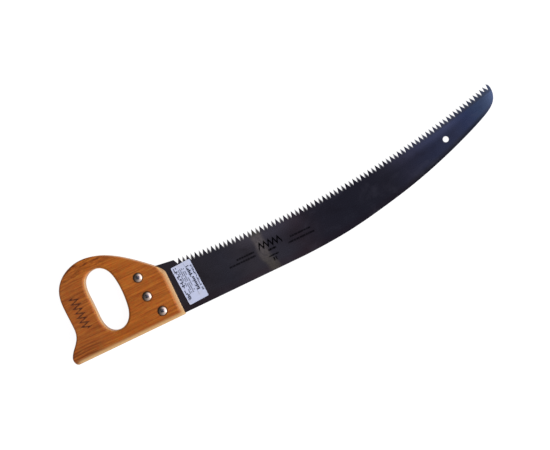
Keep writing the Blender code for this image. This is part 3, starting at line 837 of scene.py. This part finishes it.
def grip_mesh(step, segments):
    bm = bmesh.new()
    outer, corner = grip_outline(step)
    hole = spline(HAND_HOLE, step, closed=True)
    if sum(a[0] * b[1] - a[1] * b[0] for a, b in zip(hole, hole[1:] + hole[:1])) > 0:
        hole = hole[::-1]
    caps = {-1: [], 1: []}
    corner_edges = []
    for points, edge in ((outer, grip_edge), (hole, lambda x, y: (EDGE_ROUND, EDGE_ROUND, 2.0))):
        shares = [(-1, k / segments) for k in range(segments + 1)]
        shares += [(1, k / segments) for k in range(segments, -1, -1)]
        rings = [[bm.verts.new(v) for v in eased_ring(points, side, share, edge)] for side, share in shares]
        for low, high in zip(rings, rings[1:]):
            for k in range(len(points)):
                n = (k + 1) % len(points)
                bm.faces.new((low[k], low[n], high[n], high[k]))
            if points is outer:
                corner_edges.append(bm.edges.get((low[corner], high[corner])))
        caps[-1].append(rings[0])
        caps[1].append(rings[-1])
    for loops in caps.values():
        edges = [bm.edges.get((loop[k - 1], loop[k])) for loop in loops for k in range(len(loop))]
        bmesh.ops.triangle_fill(bm, edges=edges, use_beauty=True)
    bmesh.ops.recalc_face_normals(bm, faces=bm.faces)
    bmesh.ops.bevel(
        bm, geom=corner_edges, offset=0.9, offset_type="OFFSET", segments=4, profile=0.5, affect="EDGES",
        clamp_overlap=True,
    )
    bmesh.ops.remove_doubles(bm, verts=bm.verts, dist=0.002)
    return bm


def make_grip(wood):
    grip = place(grip_mesh(1.7, 12), "grip", materials=[wood])
    kerf = prism([(KERF_REAR_X, -20.0), (20.0, -20.0), (20.0, 140.0), (KERF_REAR_X, 140.0)], -KERF_T / 2, KERF_T / 2)
    cutters = [place(kerf, "cut_kerf")]
    for name, (x, y) in BOLTS.items():
        floor = GRIP_T / 2 - SEAT_DEPTH
        lip = 0.3
        profile = [
            (0, -30),
            (SEAT_R + lip, -30),
            (SEAT_R + lip, -GRIP_T / 2),
            (SEAT_R, -GRIP_T / 2 + lip),
            (SEAT_R, -floor),
            (BARREL_HOLE_R, -floor),
        ]
        profile += [(r, -z) for r, z in profile[::-1]]
        cutters.append(place(turned(profile, 72), "cut_bolt_" + name, (x, y, 0)))
    carve(grip, cutters)
    smooth(grip, 32)
    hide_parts("handle")
    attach(grip, "saw")
    return grip


# ================================================================ blade

def tooth_line(s):
    low_x, low_y = TOOTH_LINE_LOW
    s -= TOOTH_LINE_R_HEEL * math.asin((low_x - FIRST_TOOTH_X) / TOOTH_LINE_R_HEEL)
    r = TOOTH_LINE_R_HEEL if s < 0 else TOOTH_LINE_R_NOSE
    a = s / r
    return Vector((low_x + r * math.sin(a), low_y + r * (1 - math.cos(a)))), Vector((math.cos(a), math.sin(a)))


def tooth_point(s, up):
    point, ahead = tooth_line(s)
    return point + Vector((-ahead.y, ahead.x)) * up


def tooth_lean(k):
    """How far the point of a tooth stands back from the middle of its foot."""
    return TIP_LEAN_HEEL + (TIP_LEAN_NOSE - TIP_LEAN_HEEL) * k / (TOOTH_COUNT - 1)


def blade_run():
    """From the nose round the back and the tang to the heel gullet."""
    back = spline(((BACK_CURVE_START, 0.0),) + BACK_CURVE, 2.5, start=(1, 0))
    tang = [(TANG_REAR_X, 0.0), (TANG_REAR_X, 60.0), TANG_TOP_REAR, HEEL_CORNER]
    rear_low = rounded_corner([(0.0, 0.0), tang[0], tang[1]], 1, 4.0, 8)
    rear_high = rounded_corner([tang[0], tang[1], tang[2]], 1, 10.0, 8)
    top = rounded_corner([tang[1], tang[2], tang[3]], 1, 6.0, 6)
    heel = rounded_corner([TANG_TOP_REAR, HEEL_CORNER, HEEL_GULLET], 1, 0.5, 3)
    straight = evenly((BACK_CURVE_START - 8.0, 0.0), rear_low[0], 12.0)
    return back[::-1] + straight + rear_low + rear_high + top + heel + [HEEL_GULLET]


def blade_mesh():
    bm = bmesh.new()
    half = BLADE_T / 2
    run = blade_run()
    steps = 3
    rims = {}
    for side in (1, -1):
        plain = [bm.verts.new((x, y, side * half)) for x, y in run]
        corners = []
        for k in range(TOOTH_COUNT):
            foot = k * TOOTH_PITCH - CROWDING * max(0, k - CROWDED_FROM) ** 2 + tooth_lean(k)
            ground = (k % 2 == 1) == (side == 1)
            reach = TOOTH_PITCH / 2 - TOOTH_LEAN if ground else TOOTH_PITCH / 2 + TOOTH_LEAN
            left = tooth_point(foot - reach + GULLET_FLAT / 2, -TOOTH_HEIGHT)
            right = tooth_point(foot + reach - GULLET_FLAT / 2, -TOOTH_HEIGHT)
            drop = BEVEL_DROP if ground else 0.0
            share = 1 - drop / TOOTH_HEIGHT
            tip = tooth_point(foot - tooth_lean(k) * share, -drop)
            lean = (-TOOTH_SET if k % 2 else TOOTH_SET) * share
            corners.append((left, tip, right, lean))
        flat = [HEEL_GULLET] + [tuple(p) for left, tip, right, _ in corners for p in (left, tip, right)] + [run[0]]
        teeth = []
        for k, (_, tip, _, lean) in enumerate(corners):
            at = 1 + 3 * k
            teeth.append((
                [bm.verts.new((x, y, side * half)) for x, y in rounded_corner(flat, at, GULLET_R, steps)],
                bm.verts.new((tip.x, tip.y, side * half + lean)),
                [bm.verts.new((x, y, side * half)) for x, y in rounded_corner(flat, at + 2, GULLET_R, steps)],
            ))
        rims[side] = (plain, teeth)
    for side in (1, -1):
        plain, teeth = rims[side]
        loop = plain + [v for left, _, right in teeth for v in left + right]
        bm.faces.new(loop if side == 1 else loop[::-1])
        for left, tip, right in teeth:
            tooth = (left[-1], tip, right[0])
            bm.faces.new(tooth[::-1] if side == 1 else tooth)
    around = {
        side: plain + [v for left, tip, right in teeth for v in (*left, tip, *right)]
        for side, (plain, teeth) in rims.items()
    }
    front, rear = around[1], around[-1]
    for k in range(len(front)):
        n = (k + 1) % len(front)
        wall = bm.faces.new((front[k], front[n], rear[n], rear[k]))
        wall.material_index = 1 if k >= len(run) - 1 else 0
    # The back and the heel keep a fine broken edge.
    eased = [
        bm.edges.get((ring[k], ring[k + 1])) for ring in (front, rear) for k in range(len(run) - 1)
    ]
    bmesh.ops.recalc_face_normals(bm, faces=bm.faces)
    bmesh.ops.bevel(
        bm, geom=eased, offset=0.16, offset_type="OFFSET", segments=2, profile=0.5, affect="EDGES",
        clamp_overlap=True, material=-1,
    )
    return bm


def make_blade(plate, ground):
    blade = place(blade_mesh(), "toothed_blade", materials=[plate, ground])
    lip = 0.15
    half = BLADE_T / 2
    hole = [(0, -5), (HANGING_HOLE_R + lip, -5), (HANGING_HOLE_R + lip, -half), (HANGING_HOLE_R, -half + lip)]
    hole += [(r, -z) for r, z in hole[::-1]]
    cutters = [place(turned(hole, 72), "cut_hanging_hole", (*HANGING_HOLE, 0), materials=[plate])]
    for name, (x, y) in BOLTS.items():
        tang_hole = turned([(0, -5), (TANG_HOLE_R, -5), (TANG_HOLE_R, 5), (0, 5)], 48)
        cutters.append(place(tang_hole, "cut_tang_" + name, (x, y, 0), materials=[plate]))
    carve(blade, cutters)
    smooth(blade, 24)
    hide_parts("blade")
    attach(blade, "saw")
    return blade


# ================================================================ bolts and label

def dome(radius, low, high, steps):
    rise = high - low
    ball = (radius**2 + rise**2) / (2 * rise)
    top = math.asin(min(1.0, radius / ball))
    return [
        (ball * math.sin(top * (1 - k / steps)), high - ball * (1 - math.cos(top * (1 - k / steps))))
        for k in range(steps)
    ] + [(0.0, high)]


def rim(low, high, radius, rounding, steps):
    """(radius, z) pairs round the outer edge of a head, from its flat underside up to where the dome starts."""
    under = [
        (radius - rounding * (1 - math.sin(k / steps * math.pi / 2)), low + rounding * (1 - math.cos(k / steps * math.pi / 2)))
        for k in range(steps + 1)
    ]
    return under + [(radius, high - 0.12), (radius - 0.05, high - 0.02)]


def cross_outline(span, width, corner_steps=4):
    """The four-armed outline of the recess, with rounded arm ends."""
    a, b = span / 2, width / 2
    arm = rounded_corner([(0.0, -b), (a, -b), (a, b)], 1, b * 0.6, corner_steps)
    arm += rounded_corner([(a, -b), (a, b), (0.0, b)], 1, b * 0.6, corner_steps)
    arm += [(b * 1.25, b), (b, b * 1.25)]
    return [
        (x * math.cos(q) - y * math.sin(q), x * math.sin(q) + y * math.cos(q))
        for q in (0, math.pi / 2, math.pi, 3 * math.pi / 2)
        for x, y in arm
    ]


def thread_profile(radius, start, end, pitch, depth, outside=True):
    """(radius, z) pairs of ridges standing in for a thread, running from start to end."""
    count = int(abs(end - start) / pitch)
    way = 1 if end > start else -1
    sign = -1 if outside else 1
    made = []
    for k in range(count):
        z = start + way * k * pitch
        made += [(radius, z + way * pitch * 0.12), (radius + sign * depth, z + way * pitch * 0.5), (radius, z + way * pitch * 0.88)]
    return made


def make_screw(name, finish):
    x, y = BOLTS[name]
    top_of_rim = HEAD_SEAT + 0.9
    profile = [(0.0, THREAD_END), (THREAD_R - 0.6, THREAD_END), (THREAD_R - 0.05, THREAD_END + 0.6)]
    profile += thread_profile(THREAD_R, THREAD_END + 0.8, SHOULDER_END - 0.4, 0.8, 0.3)
    profile += [(THREAD_R - 0.2, SHOULDER_END), (SHOULDER_R - 0.25, SHOULDER_END), (SHOULDER_R, SHOULDER_END + 0.25)]
    profile += [(SHOULDER_R, HEAD_SEAT)]
    profile += rim(HEAD_SEAT, top_of_rim, HEAD_R, 0.3, 4)
    profile += dome(HEAD_R - 0.1, top_of_rim, SCREW_HEAD_TOP, 14)
    screw = centred(turned(profile, 96), "bolt_screw_" + name, (x, y, 0), finish)
    sunk = SCREW_HEAD_TOP - RECESS_DEPTH
    recess = centred(
        prism([(px * 0.5, py * 0.5) for px, py in cross_outline(RECESS_SPAN, RECESS_W)], sunk, SCREW_HEAD_TOP + 0.6, 2.25),
        "cut_recess_" + name, (x, y, 0), finish, math.radians(SCREW_TURNS[name]),
    )
    carve(screw, [recess])
    smooth(screw, 30)
    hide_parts("screw_" + name)
    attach(screw, name + "_screw")
    return screw


def make_nut(name, finish):
    x, y = BOLTS[name]
    top_of_rim = HEAD_SEAT + 0.7
    head = rim(HEAD_SEAT, top_of_rim, HEAD_R, 0.3, 4) + dome(HEAD_R - 0.1, top_of_rim, NUT_HEAD_TOP, 12)
    profile = [(r, -z) for r, z in head[::-1]]
    profile += [(SHOULDER_R, -HEAD_SEAT), (SHOULDER_R, -SHOULDER_END - 0.4), (SHOULDER_R - 0.4, -SHOULDER_END)]
    profile += [(BORE_R + 0.3, -SHOULDER_END), (BORE_R, -SHOULDER_END - 0.3)]
    profile += thread_profile(BORE_R, -SHOULDER_END - 0.5, BORE_END + 0.3, 0.8, 0.22, outside=False)
    profile += [(BORE_R, BORE_END), (0.0, BORE_END)]
    nut = centred(turned(profile, 96), "bolt_sleeve_nut_" + name, (x, y, 0), finish)
    w = SLOT_W / 2
    slot = prism([(-10, -w), (10, -w), (10, w), (-10, w)], -20.0, -NUT_HEAD_TOP + SLOT_DEPTH)
    cutter = centred(slot, "cut_slot_" + name, (x, y, 0), finish, math.radians(NUT_TURNS[name]))
    carve(nut, [cutter])
    smooth(nut, 30)
    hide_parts("sleeve_nut_" + name)
    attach(nut, name + "_nut")
    return nut


def centred(bm, name, at, finish, turn=0.0):
    """Makes an object whose origin is at a point of the saw, so that its own coordinates run from there."""
    bmesh.ops.recalc_face_normals(bm, faces=bm.faces)
    bmesh.ops.transform(bm, matrix=Matrix.Scale(MM, 4) @ Matrix.Rotation(turn, 4, "Z"), verts=bm.verts)
    mesh = bpy.data.meshes.new(name)
    bm.to_mesh(mesh)
    bm.free()
    made = bpy.data.objects.new(name, mesh)
    made.location = (OFFSET + Vector(at)) * MM
    bpy.context.scene.collection.objects.link(made)
    mesh.materials.append(finish)
    return made


def make_label(finish):
    """A thin sheet with rounded corners, lying on the plate a hair above it."""
    w, h = LABEL_SIZE[0] / 2, LABEL_SIZE[1] / 2
    corners = [(-w, -h), (w, -h), (w, h), (-w, h)]
    outline = [p for k in range(4) for p in rounded_corner(corners, k, LABEL_CORNER, 10)]
    label = centred(prism(outline, 0.0, LABEL_T), "front_label", (*LABEL_CENTRE, BLADE_T / 2 + LABEL_GAP), finish)
    label.rotation_euler.z = LABEL_TURN
    smooth(label, 30, weighted=False)
    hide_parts("label")
    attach(label, "saw")
    return label


# ================================================================ stage, light and camera

def make_floor():
    size = 6.0
    mesh = bpy.data.meshes.new("studio_floor")
    z = FLOOR_Z * MM
    cx = 0.2
    mesh.from_pydata(
        [(cx - size, -size, z), (cx + size, -size, z), (cx + size, size, z), (cx - size, size, z)], [], [(0, 1, 2, 3)]
    )
    floor = bpy.data.objects.new("studio_floor", mesh)
    bpy.context.scene.collection.objects.link(floor)
    made = bpy.data.materials.new("pale_floor")
    made.use_nodes = True
    tree = made.node_tree
    tree.nodes.clear()
    new = tree.nodes.new
    out, paint, glow, both = new("ShaderNodeOutputMaterial"), new("ShaderNodeBsdfDiffuse"), new("ShaderNodeEmission"), new("ShaderNodeAddShader")
    # Seen from below the floor is clear, so that the rear of the saw can be looked at.
    clear, side, chosen = new("ShaderNodeBsdfTransparent"), new("ShaderNodeNewGeometry"), new("ShaderNodeMixShader")
    paint.inputs["Color"].default_value = (0.16, 0.16, 0.16, 1.0)
    glow.inputs["Color"].default_value = (1.0, 1.0, 1.0, 1.0)
    glow.inputs["Strength"].default_value = 0.94
    tree.links.new(paint.outputs[0], both.inputs[0])
    tree.links.new(glow.outputs[0], both.inputs[1])
    tree.links.new(side.outputs["Backfacing"], chosen.inputs[0])
    tree.links.new(both.outputs[0], chosen.inputs[1])
    tree.links.new(clear.outputs[0], chosen.inputs[2])
    tree.links.new(chosen.outputs[0], out.inputs["Surface"])
    mesh.materials.append(made)
    return floor


def make_world():
    """A pale room that is dark right overhead and brightest low on the side of the nose and the back of the blade."""
    world = bpy.data.worlds.new("soft_studio")
    bpy.context.scene.world = world
    world.use_nodes = True
    tree = world.node_tree
    tree.nodes.clear()
    coordinates = tree.nodes.new("ShaderNodeTexCoord")
    parts = tree.nodes.new("ShaderNodeSeparateXYZ")
    tree.links.new(coordinates.outputs["Generated"], parts.inputs[0])
    x, y, z = (Field(tree, s) for s in parts.outputs)
    flat = (x * x + y * y).root().high(0.0001)
    toward = (x * 0.966 - y * 0.259) / flat  # 1 towards the bright side
    south = (y / flat * -0.5 + 0.5).power(3.0)
    around = (toward * 0.5 + 0.5).power(2.5)
    low = z.step(0.93, 0.74)
    side = (around * 2.75 + south * 0.62 + 0.13) * low
    # Overhead: all but dark above the grip, dim above the blade, a little bluer and lighter towards the nose.
    nose = x.step(0.04, 0.26)
    over = (x.step(-0.16, -0.05) * 0.300 + nose * 0.48 + 0.048) * z.step(0.70, 0.95)
    red = side + over
    green = side * 1.0 + over * (nose * 0.12 + 0.98)
    blue = side * 1.02 + over * (nose * 0.5 + 1.05)
    combined = tree.nodes.new("ShaderNodeCombineColor")
    for field, slot in ((red, 0), (green, 1), (blue, 2)):
        tree.links.new(field.socket, combined.inputs[slot])
    lit, seen, chosen = (tree.nodes.new(k) for k in ("ShaderNodeBackground", "ShaderNodeBackground", "ShaderNodeMixShader"))
    tree.links.new(combined.outputs[0], lit.inputs["Color"])
    seen.inputs["Color"].default_value = (0.93, 0.93, 0.93, 1.0)
    path, out = tree.nodes.new("ShaderNodeLightPath"), tree.nodes.new("ShaderNodeOutputWorld")
    tree.links.new(path.outputs["Is Camera Ray"], chosen.inputs[0])
    tree.links.new(lit.outputs[0], chosen.inputs[1])
    tree.links.new(seen.outputs[0], chosen.inputs[2])
    tree.links.new(chosen.outputs[0], out.inputs["Surface"])


def make_light(name, at, aim, size, watts, colour=(1.0, 1.0, 1.0)):
    data = bpy.data.lights.new(name, "AREA")
    data.shape, data.size, data.energy, data.color = "SQUARE", size, watts, colour
    light = bpy.data.objects.new(name, data)
    bpy.context.scene.collection.objects.link(light)
    light.location = at
    light.rotation_euler = (Vector(aim) - Vector(at)).to_track_quat("-Z", "Y").to_euler()
    return light


def make_camera():
    data = bpy.data.cameras.new("camera")
    data.lens, data.sensor_width = LENS, 36.0
    data.clip_start, data.clip_end = 0.01, 50.0
    camera = bpy.data.objects.new("camera", data)
    bpy.context.scene.collection.objects.link(camera)
    camera.location = (Vector((*VIEW_CENTRE, VIEW_HEIGHT)) + OFFSET) * MM
    camera.rotation_euler = (0.0, 0.0, -SAW_ANGLE)
    bpy.context.scene.camera = camera


make_grip(beech())
make_blade(dark_steel(), ground_steel())
make_label(paper())
for order, bolt in enumerate(BOLTS):
    plate = plated("bright_zinc_" + bolt, 3.0 + 4.0 * order)
    make_screw(bolt, plate)
    make_nut(bolt, plate)

make_floor()
make_world()
make_light("key_softbox", (1.15, -0.95, 0.95), (0.15, 0.0, 0.0), 0.7, 5.0)
make_camera()

view = bpy.context.scene.view_settings
view.view_transform, view.look, view.exposure, view.gamma = "Standard", "None", 0.0, 1.0
